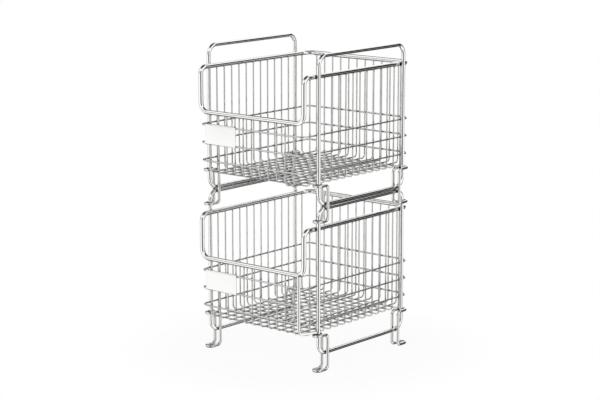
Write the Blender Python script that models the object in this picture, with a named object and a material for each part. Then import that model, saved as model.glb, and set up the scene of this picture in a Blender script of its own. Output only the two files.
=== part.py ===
"""Two stacking wire baskets of polished stainless rod, one standing on the other.

Metres, +Z up, the lowered fronts toward -Y. The origin is on the floor, in the middle
of the stack's outline. Each basket is built once, in its own place, from rods swept
along bent paths, and both are placed by an empty at their height in the stack.
"""
import math

import bmesh
import bpy
from mathutils import Quaternion, Vector

# Rod thicknesses, measured across the flats of the swept profile
FRAME_ROD = 0.0072
RIM_ROD = 0.0085
FOOT_ROD = 0.0055
HOOP_ROD = 0.0032
WIRE_ROD = 0.0028
STAY_ROD = 0.006

# Clearance between neighbours that are welded or that seat on each other
GAP = 0.0003

# Side frames, measured on the rods' centre lines
FRAME_SPACING = 0.256
POST_SPACING = 0.240
HANDLE_RISE = 0.0361
BOTTOM_BAR_HEIGHT = 0.0315
HANDLE_BEND = 0.018
BOTTOM_BEND = 0.020

# Rim
RIM_HEIGHT = 0.2552
FRONT_BAR_HEIGHT = 0.176
RIM_OVERHANG = 0.030
SHOULDER_BEND = 0.012
DROP_BEND = 0.017
RIM_BACK_BEND = 0.020

# Hoops
TOP_HOOP_HEIGHT = 0.1535
MIDDLE_HOOP_HEIGHT = 0.1212
LOWEST_HOOP_HEIGHT = 0.0885
HOOP_BEND = 0.014
WELD_DEPTH = 0.0005

# Wires of the walls and the floor
CROSSWISE_COUNT = 14
LENGTHWISE_COUNT = 11
CROSSWISE_MARGIN = 0.0195
LENGTHWISE_MARGIN = 0.020
FLOOR_HEIGHT = 0.065
WIRE_BEND = 0.007

# Feet
FOOT_INSET = 0.0175
FOOT_REACH = 0.0086
FOOT_LOOP_HEIGHT = 0.0655
FOOT_BEND = 0.007

# Front stay of the lower basket
STAY_BEND = 0.008
STAY_TURN = math.radians(24)

# Label plate
PLATE_SHEET = 0.0006
PLATE_WIDTH = 0.070
PLATE_INSET = 0.0386

# Facets: sides of a rod and steps of a quarter bend
THICK_SIDES = 8
THIN_SIDES = 6
THICK_STEPS = 4
THIN_STEPS = 3

# Places that follow from the sizes above
HANDLE_HEIGHT = RIM_HEIGHT + HANDLE_RISE
FRAME_X = FRAME_SPACING / 2
POST_Y = POST_SPACING / 2
FOOT_SPREAD = FRAME_ROD / 2 + GAP + FOOT_ROD / 2
STACK_PITCH = HANDLE_HEIGHT - BOTTOM_BAR_HEIGHT + FRAME_ROD + GAP
RIM_X = FRAME_X - FRAME_ROD / 2 - GAP - RIM_ROD / 2
RIM_Y = POST_Y + RIM_OVERHANG
SIDE_WIRE_X = FRAME_X - FOOT_SPREAD - FOOT_ROD / 2 - GAP - WIRE_ROD / 2
WIRE_INSET = RIM_X - SIDE_WIRE_X
FRONT_WIRE_Y = -RIM_Y
BACK_WIRE_Y = RIM_Y - WIRE_INSET
HOOP_OFFSET = WIRE_ROD / 2 + GAP + HOOP_ROD / 2
LENGTHWISE_FLOOR = FLOOR_HEIGHT + WIRE_ROD + GAP
SIDE_WIRE_TOP = RIM_HEIGHT - RIM_ROD / 2 - GAP
FRONT_WIRE_TOP = FRONT_BAR_HEIGHT - RIM_ROD / 2 - GAP
PLATE_CENTRE = PLATE_INSET - SIDE_WIRE_X
STAY_OFFSET = HOOP_BEND + HOOP_ROD / 2 + GAP + STAY_ROD / 2
STAY_X = SIDE_WIRE_X + HOOP_OFFSET - HOOP_BEND + STAY_OFFSET * math.sin(STAY_TURN)
STAY_Y = FRONT_WIRE_Y - HOOP_OFFSET + HOOP_BEND - STAY_OFFSET * math.cos(STAY_TURN)
STAY_FLOOR = FOOT_LOOP_HEIGHT + FOOT_ROD / 2 + GAP + STAY_ROD / 2
CENTRE_SHIFT = (STAY_ROD / 2 - STAY_Y - RIM_Y - RIM_ROD / 2) / 2


def clear_scene():
    """Start from an empty scene."""
    for obj in list(bpy.data.objects):
        bpy.data.objects.remove(obj)


def polished_steel(name, roughness):
    """Stainless steel rod, brighter and smoother the more it is polished."""
    material = bpy.data.materials.new(name)
    material.use_nodes = True
    shader = material.node_tree.nodes["Principled BSDF"]
    shader.inputs["Base Color"].default_value = (0.80, 0.80, 0.79, 1)
    shader.inputs["Metallic"].default_value = 1
    shader.inputs["Roughness"].default_value = roughness
    return material


def bent_path(corners, steps, closed):
    """Points of straight runs whose corners, each a place and a bend radius, are rounded."""
    points = []
    count = len(corners)
    for i, (place, radius) in enumerate(corners):
        if not closed and i in (0, count - 1):
            points.append(place)
            continue
        arriving = (place - corners[i - 1][0]).normalized()
        leaving = (corners[(i + 1) % count][0] - place).normalized()
        turn = arriving.angle(leaving)
        start = place - arriving * radius * math.tan(turn / 2)
        centre = place + (leaving - arriving).normalized() * radius / math.cos(turn / 2)
        axis = arriving.cross(leaving).normalized()
        for k in range(steps + 1):
            points.append(centre + Quaternion(axis, turn * k / steps) @ (start - centre))
    return points


def rod_mesh(name, points, thickness, sides, facing, closed, material):
    """A rod along a path, mitred at each point, with one flat toward the facing direction."""
    count = len(points)
    runs = [(points[(i + 1) % count] - points[i]).normalized() for i in range(count)]
    if not closed:
        runs[-1] = runs[-2]
    normal = (facing - runs[0] * facing.dot(runs[0])).normalized()
    across = runs[0].cross(normal)
    corner = thickness / 2 / math.cos(math.pi / sides)
    angles = [math.tau * (k + 0.5) / sides for k in range(sides)]
    spokes = [(normal * math.cos(a) + across * math.sin(a)) * corner for a in angles]
    first_spoke = spokes[0].copy()

    mesh = bmesh.new()
    rings = []
    for i, place in enumerate(points):
        arriving = runs[i - 1] if closed or i > 0 else runs[0]
        if i > 0:
            turn = arriving.rotation_difference(runs[i])
            spokes = [turn @ spoke for spoke in spokes]
        mitre = (arriving + runs[i]).normalized()
        slide = [spoke.dot(mitre) / runs[i].dot(mitre) for spoke in spokes]
        rings.append([mesh.verts.new(place + s - runs[i] * d) for s, d in zip(spokes, slide)])

    if closed:
        turn = runs[-1].rotation_difference(runs[0])
        ended = [(turn @ spoke - first_spoke).length for spoke in spokes]
        shift = ended.index(min(ended))
        rings.append(rings[0][-shift:] + rings[0][:-shift] if shift else rings[0])
    else:
        mesh.faces.new(rings[0])
        mesh.faces.new(rings[-1])
    for ring, following in zip(rings, rings[1:]):
        for k in range(sides):
            n = (k + 1) % sides
            mesh.faces.new((ring[k], ring[n], following[n], following[k]))
    return finish_mesh(name, mesh, material)


def finish_mesh(name, mesh, material):
    """Turn the faces outward, shade the round sides smooth and keep the ends sharp."""
    bmesh.ops.recalc_face_normals(mesh, faces=mesh.faces)
    data = bpy.data.meshes.new(name)
    mesh.to_mesh(data)
    mesh.free()
    data.shade_smooth()
    data.set_sharp_from_angle(angle=math.radians(62))
    data.materials.append(material)
    return data


def place(name, data, parent, location=(0, 0, 0), turn=0):
    """Put a named object of the mesh on its basket."""
    obj = bpy.data.objects.new(name, data)
    bpy.context.collection.objects.link(obj)
    obj.parent = parent
    obj.location = location
    obj.rotation_euler = (0, 0, turn)
    return obj


def side_frame():
    """Closed loop in an upright plane: two posts, the handle bar and the bottom bar."""
    corners = [
        (Vector((0, -POST_Y, BOTTOM_BAR_HEIGHT)), BOTTOM_BEND),
        (Vector((0, POST_Y, BOTTOM_BAR_HEIGHT)), BOTTOM_BEND),
        (Vector((0, POST_Y, HANDLE_HEIGHT)), HANDLE_BEND),
        (Vector((0, -POST_Y, HANDLE_HEIGHT)), HANDLE_BEND),
    ]
    path = bent_path(corners, THICK_STEPS, closed=True)
    steel = polished_steel("side frame steel", 0.14)
    return rod_mesh("side_frame", path, FRAME_ROD, THICK_SIDES, Vector((1, 0, 0)), True, steel)


def rim():
    """Closed rod: level on the sides and back, bent down and across at the front."""
    corners = [
        (Vector((-RIM_X, RIM_Y, RIM_HEIGHT)), RIM_BACK_BEND),
        (Vector((-RIM_X, -RIM_Y, RIM_HEIGHT)), SHOULDER_BEND),
        (Vector((-RIM_X, -RIM_Y, FRONT_BAR_HEIGHT)), DROP_BEND),
        (Vector((RIM_X, -RIM_Y, FRONT_BAR_HEIGHT)), DROP_BEND),
        (Vector((RIM_X, -RIM_Y, RIM_HEIGHT)), SHOULDER_BEND),
        (Vector((RIM_X, RIM_Y, RIM_HEIGHT)), RIM_BACK_BEND),
    ]
    path = bent_path(corners, THICK_STEPS, closed=True)
    steel = polished_steel("rim steel", 0.12)
    return rod_mesh("rim", path, RIM_ROD, THICK_SIDES, Vector((0, 0, 1)), True, steel)


def hoop(name, bite, steel):
    """Flat ring outside the wires. The bite presses it into the lengthwise wires."""
    side = SIDE_WIRE_X + HOOP_OFFSET
    front = FRONT_WIRE_Y - HOOP_OFFSET + bite
    back = BACK_WIRE_Y + HOOP_OFFSET - bite
    corners = [
        (Vector((-side, front, 0)), HOOP_BEND),
        (Vector((side, front, 0)), HOOP_BEND),
        (Vector((side, back, 0)), HOOP_BEND),
        (Vector((-side, back, 0)), HOOP_BEND),
    ]
    path = bent_path(corners, THICK_STEPS, closed=True)
    return rod_mesh(name, path, HOOP_ROD, THIN_SIDES, Vector((0, 1, 0)), True, steel)


def crosswise_wire():
    """U-shaped wire: down one side, across the floor and up the other side."""
    corners = [
        (Vector((-SIDE_WIRE_X, 0, SIDE_WIRE_TOP)), 0),
        (Vector((-SIDE_WIRE_X, 0, FLOOR_HEIGHT)), WIRE_BEND),
        (Vector((SIDE_WIRE_X, 0, FLOOR_HEIGHT)), WIRE_BEND),
        (Vector((SIDE_WIRE_X, 0, SIDE_WIRE_TOP)), 0),
    ]
    path = bent_path(corners, THIN_STEPS, closed=False)
    steel = polished_steel("crosswise wire steel", 0.18)
    return rod_mesh("crosswise_wire", path, WIRE_ROD, THIN_SIDES, Vector((1, 0, 0)), False, steel)


def lengthwise_wires(steel):
    """The row of U-shaped wires: down the front, along the floor and up the back."""
    corners = [
        (Vector((0, FRONT_WIRE_Y, FRONT_WIRE_TOP)), 0),
        (Vector((0, FRONT_WIRE_Y, LENGTHWISE_FLOOR)), WIRE_BEND),
        (Vector((0, BACK_WIRE_Y, LENGTHWISE_FLOOR)), WIRE_BEND),
        (Vector((0, BACK_WIRE_Y, SIDE_WIRE_TOP)), 0),
    ]
    path = bent_path(corners, THIN_STEPS, closed=False)
    single = rod_mesh("lengthwise_wire", path, WIRE_ROD, THIN_SIDES, Vector((0, 1, 0)), False, steel)
    row = bmesh.new()
    for x in spread(-SIDE_WIRE_X + LENGTHWISE_MARGIN, SIDE_WIRE_X - LENGTHWISE_MARGIN, LENGTHWISE_COUNT):
        known = set(row.verts)
        row.from_mesh(single)
        added = [vert for vert in row.verts if vert not in known]
        bmesh.ops.translate(row, verts=added, vec=(x, 0, 0))
    return finish_mesh("lengthwise_wires", row, steel)


def spread(low, high, count):
    """Evenly spaced places from low to high."""
    return [low + (high - low) * i / (count - 1) for i in range(count)]


def foot():
    """Closed loop of two legs, both ends bent outward. Its origin is on the post's axis."""
    end = -FOOT_REACH
    leg = FOOT_INSET
    low = FOOT_ROD / 2
    high = FOOT_LOOP_HEIGHT
    corners = [
        (Vector((-FOOT_SPREAD, leg, low)), FOOT_BEND),
        (Vector((-FOOT_SPREAD, end, low)), FOOT_SPREAD),
        (Vector((FOOT_SPREAD, end, low)), FOOT_SPREAD),
        (Vector((FOOT_SPREAD, leg, low)), FOOT_BEND),
        (Vector((FOOT_SPREAD, leg, high)), FOOT_BEND),
        (Vector((FOOT_SPREAD, end, high)), FOOT_SPREAD),
        (Vector((-FOOT_SPREAD, end, high)), FOOT_SPREAD),
        (Vector((-FOOT_SPREAD, leg, high)), FOOT_BEND),
    ]
    path = bent_path(corners, THIN_STEPS, closed=True)
    steel = polished_steel("foot steel", 0.16)
    return rod_mesh("foot", path, FOOT_ROD, THICK_SIDES, Vector((1, 0, 0)), True, steel)


def front_stay():
    """Upright rod against the hoops' corner, bent back over the foot to the post."""
    toward_post = Vector((FRAME_X - STAY_X, -POST_Y - STAY_Y, 0)).normalized()
    end = Vector((FRAME_X, -POST_Y, STAY_FLOOR)) - toward_post * (FRAME_ROD / 2 + GAP * 2)
    corners = [
        (Vector((STAY_X, STAY_Y, FRONT_BAR_HEIGHT)), 0),
        (Vector((STAY_X, STAY_Y, STAY_FLOOR)), STAY_BEND),
        (end, 0),
    ]
    path = bent_path(corners, THICK_STEPS, closed=False)
    steel = polished_steel("stay steel", 0.13)
    return rod_mesh("front_stay", path, STAY_ROD, THICK_SIDES, Vector((0, 1, 0)), False, steel)


def label_plate():
    """Thin sheet before the top and middle hoops, curled a quarter turn over each."""
    inner = HOOP_ROD / 2 / math.cos(math.pi / THIN_SIDES) + GAP
    outer = inner + PLATE_SHEET
    half = (TOP_HOOP_HEIGHT - MIDDLE_HOOP_HEIGHT) / 2
    quarter = [math.pi / 2 * k / THICK_STEPS for k in range(THICK_STEPS + 1)]
    upper_outer = [(-outer * math.sin(a), half + outer * math.cos(a)) for a in quarter]
    upper_inner = [(-inner * math.sin(a), half + inner * math.cos(a)) for a in quarter]
    lower_outer = [(y, -z) for y, z in reversed(upper_outer)]
    lower_inner = [(y, -z) for y, z in reversed(upper_inner)]
    outline = upper_outer + lower_outer + lower_inner[::-1] + upper_inner[::-1]
    mesh = bmesh.new()
    verts = [mesh.verts.new((-PLATE_WIDTH / 2, y, z)) for y, z in outline]
    face = mesh.faces.new(verts)
    made = bmesh.ops.extrude_face_region(mesh, geom=[face])["geom"]
    moved = [item for item in made if isinstance(item, bmesh.types.BMVert)]
    bmesh.ops.translate(mesh, verts=moved, vec=(PLATE_WIDTH, 0, 0))
    return finish_mesh("label_plate", mesh, polished_steel("label plate steel", 0.35))


def build():
    """Both baskets, from one set of meshes."""
    clear_scene()
    hoop_steel = polished_steel("hoop steel", 0.18)
    comb_steel = polished_steel("lengthwise wire steel", 0.18)
    frame_data = side_frame()
    rim_data = rim()
    foot_data = foot()
    wire_data = crosswise_wire()
    hoop_data = hoop("hoop", 0, hoop_steel)
    comb_hoop = hoop("comb_hoop", GAP + WELD_DEPTH, comb_steel)
    comb_wires = lengthwise_wires(comb_steel)
    plate_data = label_plate()
    plate_z = (TOP_HOOP_HEIGHT + MIDDLE_HOOP_HEIGHT) / 2

    for basket, height in (("lower", 0), ("upper", STACK_PITCH)):
        stand = bpy.data.objects.new(basket + "_basket", None)
        bpy.context.collection.objects.link(stand)
        stand.location = (0, CENTRE_SHIFT, height)

        for side, x in (("left", -FRAME_X), ("right", FRAME_X)):
            place(f"{basket}_{side}_frame", frame_data, stand, (x, 0, 0))
            place(f"{basket}_{side}_front_foot", foot_data, stand, (x, -POST_Y, 0))
            place(f"{basket}_{side}_back_foot", foot_data, stand, (x, POST_Y, 0), math.pi)
        place(f"{basket}_rim", rim_data, stand)
        place(f"{basket}_top_hoop", hoop_data, stand, (0, 0, TOP_HOOP_HEIGHT))
        place(f"{basket}_middle_hoop", hoop_data, stand, (0, 0, MIDDLE_HOOP_HEIGHT))

        rows = spread(FRONT_WIRE_Y + CROSSWISE_MARGIN, BACK_WIRE_Y - CROSSWISE_MARGIN, CROSSWISE_COUNT)
        for number, y in enumerate(rows, start=1):
            place(f"{basket}_crosswise_wire_{number:02d}", wire_data, stand, (0, y, 0))

        comb = place(f"{basket}_lengthwise_wires", comb_hoop, stand, (0, 0, LOWEST_HOOP_HEIGHT))
        wires = place(f"{basket}_wires_to_weld", comb_wires, stand)
        wires.hide_render = True
        wires.display_type = "WIRE"
        weld = comb.modifiers.new("weld", "BOOLEAN")
        weld.operation = "UNION"
        weld.object = wires

        plate_at = (PLATE_CENTRE, FRONT_WIRE_Y - HOOP_OFFSET, plate_z)
        place(f"{basket}_label_plate", plate_data, stand, plate_at)
        if basket == "lower":
            place("lower_front_stay", front_stay(), stand)


build()
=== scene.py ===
# %% [markdown]
# # Two stacking wire baskets of polished stainless rod
#
# The object is a kitchen rack: two wire baskets, one standing on the other. Everything on it but
# two small label plates is round stainless rod, cut, bent, spot-welded and electropolished. The
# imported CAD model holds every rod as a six- or eight-sided solid at its true place. Here each
# one is bent again as a truly round rod, because a polished rod is read by its reflections: a
# flat facet reflects one thing, where a round one draws thin bright and dark lines along its
# whole length.
#
# The order is the one of a workshop with a photographer at the end: the camera, the bending of
# rods, the steel, the rods from the thickest to the thinnest, the label plates, the floor and
# the studio.

# %% Load the frame
import math

import bpy
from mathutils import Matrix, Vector


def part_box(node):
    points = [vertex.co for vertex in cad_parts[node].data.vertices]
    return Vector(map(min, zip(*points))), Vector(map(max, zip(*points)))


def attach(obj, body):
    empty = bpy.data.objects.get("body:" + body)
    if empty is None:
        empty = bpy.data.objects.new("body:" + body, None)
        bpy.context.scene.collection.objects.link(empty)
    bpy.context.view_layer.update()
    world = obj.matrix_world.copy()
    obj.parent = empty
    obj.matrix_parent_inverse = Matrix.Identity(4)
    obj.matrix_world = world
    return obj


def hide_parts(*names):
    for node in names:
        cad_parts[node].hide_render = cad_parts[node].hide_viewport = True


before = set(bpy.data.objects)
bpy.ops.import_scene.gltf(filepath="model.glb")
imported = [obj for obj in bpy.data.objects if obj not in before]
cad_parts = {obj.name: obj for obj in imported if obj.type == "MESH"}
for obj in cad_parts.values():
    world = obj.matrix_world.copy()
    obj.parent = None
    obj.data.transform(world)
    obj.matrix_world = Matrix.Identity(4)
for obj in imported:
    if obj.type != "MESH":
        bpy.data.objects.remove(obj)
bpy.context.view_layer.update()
bpy.ops.object.select_all(action="DESELECT")
BASKETS = ("lower", "upper")
SIDES = ("left", "right")

# %% [markdown]
# ## The camera
#
# The photograph was taken with a long lens from the right and a little above. The values below
# come from fitting one camera to the rods' ends and corners in the picture. A short lens close
# by would spread the rods like a fan, so the distance matters as much as the direction. The
# camera is placed by its turn and its rise round a point near the middle of the rack, as on a
# turntable: each of the two angles can then be changed alone.

# %% Camera
LENS = 116.0                           # millimetres, as the sensor
SENSOR = 36.0
CAMERA_TURN = math.radians(40.01)      # from straight ahead towards the right
CAMERA_RISE = math.radians(11.11)
CAMERA_DISTANCE = 3.5204
AIM = Vector((-0.0030, -0.0114, 0.2758))
QUARTER_TURN = math.pi / 2             # a camera looks down, so this turn makes it level

backward = Vector((math.sin(CAMERA_TURN) * math.cos(CAMERA_RISE),
                   -math.cos(CAMERA_TURN) * math.cos(CAMERA_RISE),
                   math.sin(CAMERA_RISE)))
bpy.ops.object.camera_add(location=AIM + backward * CAMERA_DISTANCE,
                          rotation=(QUARTER_TURN - CAMERA_RISE, 0, CAMERA_TURN))
camera = bpy.context.object
camera.data.lens = LENS
camera.data.sensor_width = SENSOR
bpy.context.scene.camera = camera
camera.select_set(False)
print("camera at", [round(c, 3) for c in camera.location])

# %% [markdown]
# ## Picking points
#
# Operators in edit mode act on what is selected. By hand the points are clicked; in a script
# they are picked by their place. The tolerance is a hundredth of a millimetre, far less than any
# rod.

# %% Pick vertices by their place
NEAR = 1e-5


def pick(obj, wanted):
    """Select the vertices whose place is wanted, and stay in edit mode."""
    bpy.ops.object.mode_set(mode="EDIT")
    bpy.ops.mesh.select_all(action="DESELECT")
    bpy.ops.object.mode_set(mode="OBJECT")
    for vertex in obj.data.vertices:
        vertex.select = any((vertex.co - place).length < NEAR for place in wanted)
    bpy.ops.object.mode_set(mode="EDIT")


# %% [markdown]
# ## Bending a path
#
# In the workshop a straight rod is fed against a bending die, one bend after the other. The same
# can be done by hand in Blender: a small plane is merged to one point, the point is extruded
# from corner to corner, and the corners are rounded with a vertex bevel, whose offset is how far
# before the corner the bend begins. For a right angle that is the bend's radius. Typing all the
# points of every arc would give the same path, but nobody could change a radius in it.

# %% Bend a thin path along its corners
SPECK = 0.001          # the plane that is merged to the first point
BEND_STEPS = 10        # straight pieces that make one bend


def bend_path(corners, closed=False):
    """A path through the corners, each a place and how far before it the bend begins."""
    places = [Vector(place) for place, _ in corners]
    starts = [start for _, start in corners]
    first = places[0]
    bpy.ops.mesh.primitive_plane_add(size=SPECK, location=first)
    path = bpy.context.object
    bpy.ops.object.mode_set(mode="EDIT")
    bpy.ops.mesh.select_mode(type="VERT")
    bpy.ops.mesh.merge(type="CENTER")
    for here, there in zip(places, places[1:]):
        bpy.ops.mesh.extrude_region_move(TRANSFORM_OT_translate={"value": there - here})
    if closed:
        pick(path, [Vector(), places[-1] - first])
        bpy.ops.mesh.edge_face_add()
    for start in sorted(set(starts) - {0}, reverse=True):
        pick(path, [place - first for place, s in zip(places, starts) if s == start])
        bpy.ops.mesh.bevel(offset=start, segments=BEND_STEPS, affect="VERTICES")
    bpy.ops.object.mode_set(mode="OBJECT")
    bpy.ops.object.transform_apply(location=True, rotation=True, scale=True)
    return path


# %% [markdown]
# ## From the path to a rod
#
# The thin path is turned into a curve, which gives it a round section and closed ends, and then
# back into a mesh. A skin modifier would also make a tube, but a square and lumpy one that would
# spoil the reflections. Smooth shading rounds the section and the bends, and the angle limit
# leaves the sawn ends sharp.

# %% Give the path its round section
ROUND_STEPS = 7                     # a section of 4 + 2 * 7 = 18 sides
SMOOTH_UNDER = math.radians(50)


def bend_rod(name, corners, thickness, closed=False):
    """A round rod through the corners."""
    bend_path(corners, closed)
    bpy.ops.object.convert(target="CURVE")
    line = bpy.context.object.data
    line.bevel_depth = thickness / 2
    line.bevel_resolution = ROUND_STEPS
    line.use_fill_caps = True
    bpy.ops.object.convert(target="MESH")
    rod = bpy.context.object
    bpy.ops.object.shade_smooth_by_angle(angle=SMOOTH_UNDER)
    rod.name = name
    rod.select_set(False)
    return rod


# %% [markdown]
# ## Placing a piece, and its copies
#
# Most rods on the rack come in sets: four side frames, four level hoops, eight feet and 28
# crosswise wires. One of each kind is made, and the others are duplicated with their own mesh
# and moved by the distance between the CAD nodes that they stand for. So a change of one rod
# changes the whole set, as a new stop on the bending bench would. Every piece replaces its CAD
# node and rides on its basket.

# %% Dress a piece and copy it to the other nodes
def dress(piece, node, finish):
    """Put the piece in the CAD node's stead, with its finish and its name."""
    piece.name = f"{finish.name.split('_')[0]}_{node}"
    piece.data.materials.clear()
    piece.data.materials.append(finish)
    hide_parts(node)
    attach(piece, node.split("_")[0] + "_basket")


def lay(piece, nodes, finish):
    """Dress the piece for the first node, and a moved copy of it for each of the others."""
    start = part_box(nodes[0])[0]
    for node in nodes[1:]:
        piece.select_set(True)
        bpy.context.view_layer.objects.active = piece
        bpy.ops.object.duplicate_move(TRANSFORM_OT_translate={"value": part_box(node)[0] - start})
        bpy.ops.object.transform_apply(location=True, rotation=True, scale=True)
        twin = bpy.context.object
        dress(twin, node, finish)
        twin.select_set(False)
    dress(piece, nodes[0], finish)
    print(nodes[0], "and", len(nodes) - 1, "copies,", len(piece.data.polygons), "faces each")


# %% [markdown]
# ## Where a rod's middle runs
#
# The CAD box of a node reaches to the outside of its rod. A path runs through the rod's middle,
# so half a thickness is taken off on all sides. This way no place is typed: each rod takes it
# from the frame.

# %% Find a node's centre line
def centre_line(node, thickness):
    """The lowest and highest corner of the line through the middle of the node's rod."""
    low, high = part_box(node)
    half = Vector((thickness / 2,) * 3)
    return low + half, high - half


# %% [markdown]
# ## Colours and nodes
#
# A colour is written as it looks on a screen, in hex, while a shader's socket takes linear
# light, so one function turns the one into the other. A second one adds any node with its
# settings and links, which keeps each material readable as a list of what feeds what.

# %% Colour and node helpers
def linear(hex_colour):
    """An sRGB hex colour as the linear values that a socket takes, by the standard formula."""
    parts = [int(hex_colour[i:i + 2], 16) / 255 for i in (1, 3, 5)]
    return [c / 12.92 if c <= 0.04045 else ((c + 0.055) / 1.055) ** 2.4 for c in parts] + [1]


def add(tree, kind, links=(), **settings):
    """A node with its settings, and links as pairs of one of its inputs and what feeds it."""
    node = tree.nodes.new(kind)
    for setting, value in settings.items():
        setattr(node, setting, value)
    for socket, source in links:
        if isinstance(source, bpy.types.NodeSocket):
            tree.links.new(source, node.inputs[socket])
        else:
            node.inputs[socket].default_value = source
    return node


print("mid grey #808080 is", round(linear("#808080")[0], 3), "in linear light")

# %% [markdown]
# ## Electropolished stainless steel
#
# The rods are stainless steel of the 18/8 kind, cold drawn through a die and electropolished
# after welding. The die leaves faint waves a few millimetres long, and the bath leaves a polish
# that is not quite even. Both are drawn with noise on the rods' own coordinates: one noise makes
# the polish vary, which softens a reflection here and there, and a slower one tilts the surface
# by a degree or so, which makes the thin dark lines waver as they do on the real rods. A plain
# mirror would look like glass tube.
#
# A metal's colour is its reflectance. Stainless steel starts at about 65 %. The thick rods are
# set higher, because in the photograph their flanks are almost as light as the background, and
# the thin wires lower, because they are less well polished and darker between the rods.
#
# In the notch where two rods touch, light goes to and fro, and real steel swallows a third of it
# each time, so the welded contacts look almost black in the photograph. Steel as pale as this
# would swallow too little, so the shade is painted into its colour: the ambient occlusion node
# tells how open the surface is within a few millimetres, and a power of it darkens the base
# colour. This painted shade leaves a rod bright in the open and black in a notch. On the frames
# the painted shade reaches less far than on the other rods, because their bars lie along each
# other where the baskets are stacked, and the photograph keeps a thin light line between them.

# %% Polished stainless
MM = 0.001                     # in metres
GRAIN_DETAIL = 3
GRAIN_SPREAD = (0.3, 0.7)      # the part of the noise's range that is in use
NOTCH_SHADE_REACH_MM = 4
NOTCH_SHADE_POWER = 3              # the power of the painted shade: how often the light is weakened in a notch
NOTCH_SHADE_SAMPLES = 8


def polished_stainless(name, colour, polish, grain_mm, wave_mm, wave_height_mm,
                       shade_reach_mm=NOTCH_SHADE_REACH_MM):
    """Steel with an uneven polish and waves from the die, and painted shade in its notches."""
    material = bpy.data.materials.new(name)
    material.use_nodes = True
    tree = material.node_tree
    shader = tree.nodes["Principled BSDF"]
    shader.inputs["Metallic"].default_value = 1
    shader.inputs["Base Color"].default_value = linear(colour)
    # Painted shade: a power of the ambient occlusion darkens the base colour in notches and
    # contacts.
    openness = add(tree, "ShaderNodeAmbientOcclusion", [("Distance", shade_reach_mm * MM)],
                   samples=NOTCH_SHADE_SAMPLES)
    painted_shade_factor = add(tree, "ShaderNodeMath", [(0, openness.outputs["AO"]), (1, NOTCH_SHADE_POWER)],
                  operation="POWER")
    painted_shade_colour = add(tree, "ShaderNodeVectorMath",
                 [(0, linear(colour)[:3]), ("Scale", painted_shade_factor.outputs[0])], operation="SCALE")
    tree.links.new(painted_shade_colour.outputs[0], shader.inputs["Base Color"])
    place = add(tree, "ShaderNodeTexCoord").outputs["Object"]
    grain = add(tree, "ShaderNodeTexNoise",
                [("Vector", place), ("Scale", 1 / (grain_mm * MM)), ("Detail", GRAIN_DETAIL)])
    smoothness = add(tree, "ShaderNodeMapRange",
                     [("Value", grain.outputs["Fac"]),
                      ("From Min", GRAIN_SPREAD[0]), ("From Max", GRAIN_SPREAD[1]),
                      ("To Min", polish[0]), ("To Max", polish[1])])
    tree.links.new(smoothness.outputs["Result"], shader.inputs["Roughness"])
    waves = add(tree, "ShaderNodeTexNoise",
                [("Vector", place), ("Scale", 1 / (wave_mm * MM)), ("Detail", 0)])
    tilt = add(tree, "ShaderNodeBump",
               [("Strength", 1), ("Distance", wave_height_mm * MM),
                ("Height", waves.outputs["Fac"])])
    tree.links.new(tilt.outputs["Normal"], shader.inputs["Normal"])
    return material


# %% The four steels
# The side frames' rod: almost a mirror, with light flanks and one dark line where the dark half of
# the studio shows.
# Its painted notch shade reaches only 1.5 mm, so the stacked bars keep a light line.
frame_steel = polished_stainless("polished_frame_rod", "#E4E4E2", polish=(0.02, 0.06),
                                 grain_mm=9, wave_mm=12, wave_height_mm=0.03, shade_reach_mm=1.5)
# The rim's rod, the thickest: the same finish, handled most and so the smoothest.
rim_steel = polished_stainless("polished_rim_rod", "#E4E4E2", polish=(0.02, 0.05),
                               grain_mm=9, wave_mm=14, wave_height_mm=0.03)
# The feet's rod: a little greyer, which sets the small loops off against the white ground.
foot_steel = polished_stainless("polished_foot_rod", "#DADAD8", polish=(0.02, 0.05),
                                grain_mm=7, wave_mm=9, wave_height_mm=0.02)
# The thin wire: greyer again, so that the dense floor of a basket reads as a grid, not as a haze.
wire_steel = polished_stainless("polished_wire", "#CFCFCD", polish=(0.02, 0.05),
                                grain_mm=5, wave_mm=7, wave_height_mm=0.01)
print("steels", [m.name for m in bpy.data.materials if m.name.startswith("polished")])

# %% [markdown]
# ## Side frames
#
# Each basket hangs between two closed loops of 7.2 mm rod. The top of a loop is the handle,
# which rises over the rim, and its bottom bar stands on the handle of the basket below. On the
# bench the loop is bent from one length with four bends and butt-welded in the middle of the
# bottom bar, so it is one closed path with four corners. The upper bends are a little tighter
# than the lower ones.

# %% Side frames
FRAME_ROD = 0.0072
HANDLE_BEND = 0.018
BOTTOM_BEND = 0.020

nodes = [f"{basket}_{side}_frame" for basket in BASKETS for side in SIDES]
low, high = centre_line(nodes[0], FRAME_ROD)
corners = [((low.x, low.y, low.z), BOTTOM_BEND), ((low.x, high.y, low.z), BOTTOM_BEND),
           ((low.x, high.y, high.z), HANDLE_BEND), ((low.x, low.y, high.z), HANDLE_BEND)]
lay(bend_rod("side_frame", corners, FRAME_ROD, closed=True), nodes, frame_steel)

# %% [markdown]
# ## Rims
#
# One 8.5 mm rod goes round the top of each basket. It runs level along the sides and the back
# and drops at the front, so that a hand can reach in: forward over the two shoulders, down, and
# across. All of it is one closed path with six corners. The back corners lie flat, the shoulders
# and the drop stand upright, and each kind has its own bend.

# %% Rims
RIM_ROD = 0.0085
RIM_BACK_BEND = 0.020
SHOULDER_BEND = 0.012
DROP_BEND = 0.017

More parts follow.
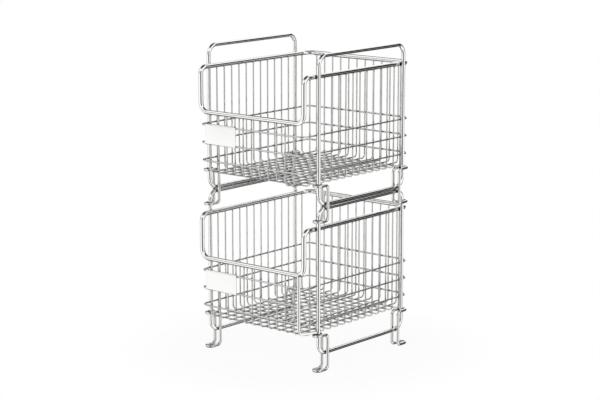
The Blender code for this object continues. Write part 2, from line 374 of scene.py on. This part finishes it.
nodes = [f"{basket}_rim" for basket in BASKETS]
low, high = centre_line(nodes[0], RIM_ROD)
corners = [((low.x, high.y, high.z), RIM_BACK_BEND), ((low.x, low.y, high.z), SHOULDER_BEND),
           ((low.x, low.y, low.z), DROP_BEND), ((high.x, low.y, low.z), DROP_BEND),
           ((high.x, low.y, high.z), SHOULDER_BEND), ((high.x, high.y, high.z), RIM_BACK_BEND)]
lay(bend_rod("rim", corners, RIM_ROD, closed=True), nodes, rim_steel)

# %% [markdown]
# ## Level hoops
#
# Three rings of 3.2 mm wire tie the upright wires together from outside. The top and the middle
# one are single rings, and all four of them are alike. The lowest one is welded to the
# lengthwise wires and is made with them further down, so the corners of a ring get a function of
# their own.

# %% Hoops
HOOP_ROD = 0.0032
HOOP_BEND = 0.014


def ring_corners(low, high, z):
    """The corners of a level hoop at the height z."""
    return [((low.x, low.y, z), HOOP_BEND), ((high.x, low.y, z), HOOP_BEND),
            ((high.x, high.y, z), HOOP_BEND), ((low.x, high.y, z), HOOP_BEND)]


nodes = [f"{basket}_{level}_hoop" for basket in BASKETS for level in ("top", "middle")]
low, high = centre_line(nodes[0], HOOP_ROD)
hoop = bend_rod("hoop", ring_corners(low, high, low.z), HOOP_ROD, closed=True)
lay(hoop, nodes, wire_steel)

# %% [markdown]
# ## Crosswise wires
#
# Fourteen wires of 2.8 mm run across each basket: down one side, across the floor and up the
# other side. Their tips are welded to the inner face of the rim. A resistance weld sinks the
# wire a little into the rod, so the tips go on to just under the rim's middle, where they show
# as small bright steps against its dark underside. The CAD solids stop short of the rim, because
# two solids may not overlap there. One wire is bent, and 27 copies follow.

# %% Crosswise wires
WIRE_ROD = 0.0028
WIRE_BEND = 0.007
TIP_UNDER_RIM = 0.0018        # from the middle of the rim's rod down to the tips
CROSSWISE_COUNT = 14

front_bar, side_bar = centre_line("lower_rim", RIM_ROD)
nodes = [f"{basket}_crosswise_wire_{number:02d}"
         for basket in BASKETS for number in range(1, CROSSWISE_COUNT + 1)]
low, high = centre_line(nodes[0], WIRE_ROD)
tip = side_bar.z - TIP_UNDER_RIM
corners = [((low.x, low.y, tip), 0), ((low.x, low.y, low.z), WIRE_BEND),
           ((high.x, low.y, low.z), WIRE_BEND), ((high.x, low.y, tip), 0)]
lay(bend_rod("crosswise_wire", corners, WIRE_ROD), nodes, wire_steel)

# %% [markdown]
# ## Lengthwise wires with the lowest hoop
#
# Eleven more wires run from front to back on top of the crosswise ones. At the back they rise to
# the rim, and at the front only to the lowered front bar. The CAD model has them in one node
# with the lowest hoop, which carries them, so the twelve rods are bent one by one and joined to
# one piece.

# %% Lowest hoop
LOWEST_HOOP_OVER_FLOOR = 0.0204
nodes = [f"{basket}_lengthwise_wires" for basket in BASKETS]
low, high = centre_line(nodes[0], HOOP_ROD)
floor_wire_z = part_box(nodes[0])[0].z + WIRE_ROD / 2
ring = ring_corners(low, high, floor_wire_z + LOWEST_HOOP_OVER_FLOOR)
rods = [bend_rod("lowest_hoop", ring, HOOP_ROD, closed=True)]
print("lowest hoop at", round(ring[0][0][2] / MM, 1), "mm")

# %% Lengthwise wires
LENGTHWISE_COUNT = 11
LENGTHWISE_SPACING = 0.01938
WELD_DEPTH = 0.0005           # how far a wire and the hoop are pressed into each other

wire_inset = (HOOP_ROD + WIRE_ROD) / 2 - WELD_DEPTH
front_y, back_y = low.y + wire_inset, high.y - wire_inset
front_tip, back_tip = front_bar.z - TIP_UNDER_RIM, side_bar.z - TIP_UNDER_RIM
for number in range(LENGTHWISE_COUNT):
    x = (number - (LENGTHWISE_COUNT - 1) / 2) * LENGTHWISE_SPACING
    corners = [((x, front_y, front_tip), 0), ((x, front_y, floor_wire_z), WIRE_BEND),
               ((x, back_y, floor_wire_z), WIRE_BEND), ((x, back_y, back_tip), 0)]
    rods.append(bend_rod("lengthwise_wire", corners, WIRE_ROD))
for rod in rods:
    rod.select_set(True)
bpy.context.view_layer.objects.active = rods[0]
bpy.ops.object.join()
rods[0].select_set(False)
lay(rods[0], nodes, wire_steel)

# %% [markdown]
# ## Feet
#
# Each foot is a closed loop of 5.5 mm rod that straddles the bottom bar beside a post. Its two
# legs go down on either side of the bar, and both ends of the loop are bent outward: the lower
# one lies flat on the ground and hooks round the post of the basket below when the baskets are
# stacked. An end is a half circle, which a bevel gives when the bend begins half a width before
# each of the two corners. The front and the back feet are mirror images, so each kind is bent
# once from its own CAD box.

# %% Feet
FOOT_ROD = 0.0055
FOOT_BEND = 0.007
NOSE_SHARE = 0.999     # of the foot's half width; a full share would leave two points on one place

for end in ("front", "back"):
    nodes = [f"{basket}_{side}_{end}_foot" for basket in BASKETS for side in SIDES]
    low, high = centre_line(nodes[0], FOOT_ROD)
    leg, nose = (high.y, low.y) if end == "front" else (low.y, high.y)
    nose_bend = (high.x - low.x) / 2 * NOSE_SHARE
    corners = [((low.x, leg, low.z), FOOT_BEND), ((low.x, nose, low.z), nose_bend),
               ((high.x, nose, low.z), nose_bend), ((high.x, leg, low.z), FOOT_BEND),
               ((high.x, leg, high.z), FOOT_BEND), ((high.x, nose, high.z), nose_bend),
               ((low.x, nose, high.z), nose_bend), ((low.x, leg, high.z), FOOT_BEND)]
    lay(bend_rod("foot", corners, FOOT_ROD, closed=True), nodes, foot_steel)

# %% [markdown]
# ## Front stay
#
# At the right front corner of the lower basket a 6 mm rod stands before the wires. It drops from
# the front bar to the floor's height and turns towards the post, where it is welded. Its end is
# worked out from the post and not from the stay's own box, because the box is square to the axes
# and the turned end is not.

# %% Front stay
STAY_ROD = 0.006
STAY_BEND = 0.008
STAY_OVER_GROUND = 0.07155
WELD_GAP = 0.0006             # between the stay's end and the post, for the weld

low, high = centre_line("lower_front_stay", STAY_ROD)
post, _ = centre_line("lower_right_frame", FRAME_ROD)
corner = Vector((low.x, low.y, STAY_OVER_GROUND))
to_post = Vector((post.x, post.y, STAY_OVER_GROUND)) - corner
end = corner + to_post - to_post.normalized() * (FRAME_ROD / 2 + WELD_GAP)
corners = [((low.x, low.y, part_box("lower_front_stay")[1].z), 0), (corner, STAY_BEND), (end, 0)]
lay(bend_rod("stay", corners, STAY_ROD), ["lower_front_stay"], frame_steel)

# %% [markdown]
# ## The label plates' finish
#
# The plates are thin sheet of the same steel, with a matt pearl-blasted face. In the photograph
# they are almost as white as the background. They are pale because a matt face gathers light
# from the whole room, so this is not a mirror: the roughness is high, and the blasting is a fine
# grain in both the roughness and the surface. Real blasting has grains of a tenth of a
# millimetre, which no picture of the whole rack could show, so it is drawn ten times coarser.

# %% Pearl-blasted sheet
SHEET_COLOUR = "#EDEDEB"      # gives the eye a calm white field before the lines of the wires
SHEET_POLISH = (0.35, 0.45)
sheet_steel = polished_stainless("blasted_label_sheet", SHEET_COLOUR, SHEET_POLISH,
                                 grain_mm=1, wave_mm=1.5, wave_height_mm=0.01)
print("label sheet roughness", SHEET_POLISH)

# %% [markdown]
# ## Label plates
#
# At the left of each front a plate bridges the top and the middle hoop, as a place for a label.
# It is left bare here. The sheet is curled a quarter turn over each of the two hoops, so its
# section is a bent path like a rod's. That path is extruded sideways to the plate's width,
# solidified to the sheet's thickness, and its cut edges are broken with a small bevel. Its two
# ends come from the photograph, where the plate is a little longer and further right than in the
# CAD model.

# %% Label plates
PLATE_SHEET = 0.0006
PLATE_LEFT = -0.1060
PLATE_WIDTH = 0.0735
CURL_SHARE = 0.98             # of the distance from the hoop's middle to the sheet
EDGE_BREAK = 0.0001
EDGE_STEPS = 2
SHEET_SMOOTH_UNDER = math.radians(30)

nodes = [f"{basket}_label_plate" for basket in BASKETS]
low, high = centre_line(nodes[0], PLATE_SHEET)
hoop_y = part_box(nodes[0])[1].y
curl = (hoop_y - low.y) * CURL_SHARE
plate = bend_path([((PLATE_LEFT, hoop_y, high.z), 0), ((PLATE_LEFT, low.y, high.z), curl),
                   ((PLATE_LEFT, low.y, low.z), curl), ((PLATE_LEFT, hoop_y, low.z), 0)])
bpy.ops.object.mode_set(mode="EDIT")
bpy.ops.mesh.select_all(action="SELECT")
bpy.ops.mesh.extrude_region_move(TRANSFORM_OT_translate={"value": (PLATE_WIDTH, 0, 0)})
bpy.ops.object.mode_set(mode="OBJECT")
bpy.ops.object.modifier_add(type="SOLIDIFY")
plate.modifiers[-1].thickness = PLATE_SHEET
plate.modifiers[-1].offset = 0
bpy.ops.object.modifier_apply(modifier=plate.modifiers[-1].name)
bpy.ops.object.modifier_add(type="BEVEL")
plate.modifiers[-1].width = EDGE_BREAK
plate.modifiers[-1].segments = EDGE_STEPS
bpy.ops.object.modifier_apply(modifier=plate.modifiers[-1].name)
bpy.ops.object.shade_smooth_by_angle(angle=SHEET_SMOOTH_UNDER)
plate.select_set(False)
lay(plate, nodes, sheet_steel)

# %% [markdown]
# ## The floor
#
# The rack stands on a plain pale floor. In the photograph the ground is pure white, so most of
# what the camera sees of it is an even glow of strength 1, and a small share is painted floor,
# which keeps a faint shadow under the feet. It fades out a little way round the rack, where the
# white backdrop takes over. Polished rods near a white floor would turn plain white on their
# undersides, but in the photograph the feet show the same dark lines as the rods above, so the
# steel looks past the floor into the pale studio all round.

# %% Floor plane
FLOOR_SIZE = 4                # metres
bpy.ops.mesh.primitive_plane_add(size=FLOOR_SIZE, location=(0, 0, 0))
floor = bpy.context.object
floor.name = "floor"
floor.select_set(False)
print("floor of", FLOOR_SIZE, "m")

# %% Pale floor paint
WHITE = "#FFFFFF"
FLOOR_COLOUR = "#D8D8D8"      # a pale matt paint, in which a soft shadow shows
FLOOR_ROUGHNESS = 0.9
FLOOR_GLOW_SHARE = 0.95       # the rest is paint
FLOOR_REACH = 0.22            # from the middle to where the floor begins to fade
FLOOR_FADE = 0.14             # and from there to where it is gone

paint = bpy.data.materials.new("plain_pale_floor")
paint.use_nodes = True
tree = paint.node_tree
matt = tree.nodes["Principled BSDF"]
matt.inputs["Base Color"].default_value = linear(FLOOR_COLOUR)
matt.inputs["Roughness"].default_value = FLOOR_ROUGHNESS
glow = add(tree, "ShaderNodeEmission", [("Color", linear(WHITE)), ("Strength", 1)])
rays = add(tree, "ShaderNodeLightPath")
share = add(tree, "ShaderNodeMath",
            [(0, rays.outputs["Is Camera Ray"]), (1, FLOOR_GLOW_SHARE)], operation="MULTIPLY")
ground = add(tree, "ShaderNodeMixShader",
             [(0, share.outputs[0]), (1, matt.outputs[0]), (2, glow.outputs[0])])
place = add(tree, "ShaderNodeTexCoord").outputs["Object"]
away = add(tree, "ShaderNodeVectorMath", [(0, place)], operation="LENGTH")
fade = add(tree, "ShaderNodeMapRange",
           [("Value", away.outputs["Value"]),
            ("From Min", FLOOR_REACH), ("From Max", FLOOR_REACH + FLOOR_FADE)])
gone = add(tree, "ShaderNodeMath",
           [(0, fade.outputs["Result"]), (1, rays.outputs["Is Glossy Ray"])], operation="MAXIMUM")
clear = add(tree, "ShaderNodeBsdfTransparent")
edge = add(tree, "ShaderNodeMixShader",
           [(0, gone.outputs[0]), (1, ground.outputs[0]), (2, clear.outputs[0])])
tree.links.new(edge.outputs[0], tree.nodes["Material Output"].inputs["Surface"])
floor.data.materials.append(paint)
print("floor is gone", round(FLOOR_REACH + FLOOR_FADE, 2), "m from the middle")

# %% [markdown]
# ## The studio
#
# A polished rod has hardly any colour of its own: it shows the room. The light comes from a
# white tent on all sides, and what makes the rods readable are the dark openings in it. Their
# places were worked out from the photograph, because each direction of rod mirrors its own band
# of the room:
#
# - upright rods mirror a level band just under the horizon. Their dark line comes from the open
#   side where the camera stands;
# - rods from front to back mirror what is behind them to the right. They are dark from their
#   middle down, which is a tall dark opening there;
# - rods from left to right mirror the left side. Their thin edge lines come from an opening
#   behind to the left, and the weak line in their middle from one in front to the left;
# - bends mirror everything, and their dark crescents come from the open top.
#
# Area lamps with black cards between them would do the same, but each card would also shade the
# floor. A world whose brightness depends on the direction alone is plain and even, and it looks
# the same from every side. Its strength is a quarter over 1, to make up for a part of the light
# that the openings take away: a matt face at the front then gets 0.84 of the light that a plain
# white room of strength 1 would give it. Compass angles are counted from the rack's right side
# by way of its back, so -90 is straight in front.

# %% Openings in the tent
TENT_LIGHT = 1.25             # makes up for a part of what the openings take away
BLUR = math.radians(4)        # half the width of an opening's soft border
# Each opening: its compass sides and its heights over the horizon, in degrees, and its brightness.
# A side past 180 or -180, or a height past 90, means that it has no border there.
OPENINGS = (
    ((44, 102), (-9, 33), 0.02),        # behind to the right
    ((50, 120), (-75, -13), 0.02),      # the same, below the level band
    ((-75, -26), (-60, 28), 0.03),      # around the camera
    ((-200, 200), (54, 120), 0.02),     # the open top
    ((131, 200), (-60, 50), 0.02),      # behind to the left
    ((-200, -150), (-60, -34), 0.02),   # low at the left
    ((-148, -112), (2, 19), 0.2),       # in front to the left
)
print(len(OPENINGS), "dark openings in a tent of strength", TENT_LIGHT)

# %% World by direction
world = bpy.data.worlds.new("studio")
bpy.context.scene.world = world
world.use_nodes = True
tree = world.node_tree
direction = add(tree, "ShaderNodeTexCoord").outputs["Generated"]
toward = add(tree, "ShaderNodeSeparateXYZ", [("Vector", direction)])
compass = add(tree, "ShaderNodeMath", [(0, toward.outputs["Y"]), (1, toward.outputs["X"])],
              operation="ARCTAN2")
height = add(tree, "ShaderNodeMath", [(0, toward.outputs["Z"])], operation="ARCSINE")
light = TENT_LIGHT
for sides, heights, brightness in OPENINGS:
    cover = 1
    for angle, (first, last) in ((compass, sides), (height, heights)):
        for border, before, after in ((first, 0, 1), (last, 1, 0)):
            step = add(tree, "ShaderNodeMapRange",
                       [("Value", angle.outputs[0]),
                        ("From Min", math.radians(border) - BLUR),
                        ("From Max", math.radians(border) + BLUR),
                        ("To Min", before), ("To Max", after)],
                       interpolation_type="SMOOTHSTEP")
            cover = add(tree, "ShaderNodeMath", [(0, cover), (1, step.outputs["Result"])],
                        operation="MULTIPLY").outputs[0]
    light = add(tree, "ShaderNodeMix",
                [("Factor", cover), ("A", light), ("B", brightness)]).outputs[0]
print("world nodes", len(tree.nodes))

# %% [markdown]
# ## White behind the rack
#
# Straight behind the rack the camera sees plain white of strength 1. Only what the rods and the
# floor gather comes from the tent, so the background is white without any more light on the
# rack. The Standard view transform shows colours as they are written.

# %% Backdrop and view
BACKDROP_LIGHT = 1            # plain white
seen = add(tree, "ShaderNodeLightPath").outputs["Is Camera Ray"]
light = add(tree, "ShaderNodeMix",
            [("Factor", seen), ("A", light), ("B", BACKDROP_LIGHT)]).outputs[0]
tree.links.new(light, tree.nodes["Background"].inputs["Strength"])
tree.nodes["Background"].inputs["Color"].default_value = linear(WHITE)
bpy.context.scene.view_settings.view_transform = "Standard"
print("view transform", bpy.context.scene.view_settings.view_transform)
